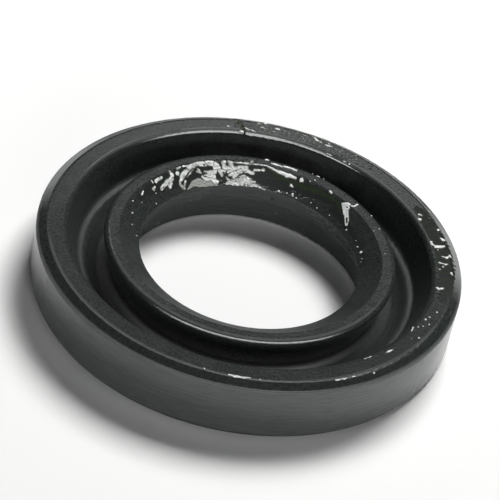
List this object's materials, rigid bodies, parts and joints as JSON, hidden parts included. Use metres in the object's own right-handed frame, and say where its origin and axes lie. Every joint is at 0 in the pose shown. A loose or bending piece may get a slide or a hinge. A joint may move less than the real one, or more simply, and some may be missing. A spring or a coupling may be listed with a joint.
{
  "type": "radial shaft seal",
  "caption": "Rubber-covered radial shaft seal: a chamfered rim seats in a housing, and a conical lip rubs on the shaft and keeps the oil in.",
  "frame": {"origin": "on the shaft axis, in the flat base on the air side", "axes": "+Z along the shaft axis, towards the oil side; the seal is round about Z, apart from a small cut in the rim near 101 degrees from +X"},
  "size_m": [0.047, 0.047, 0.007],
  "materials": {
    "nitrile_rubber": "moulded, semi-gloss, with a film of grease",
    "ring_steel": "pressed and phosphated for bonding"
  },
  "bodies": {
    "root": {"rubber_body": "nitrile_rubber", "stiffening_ring": "ring_steel"}
  },
  "joints": []
}
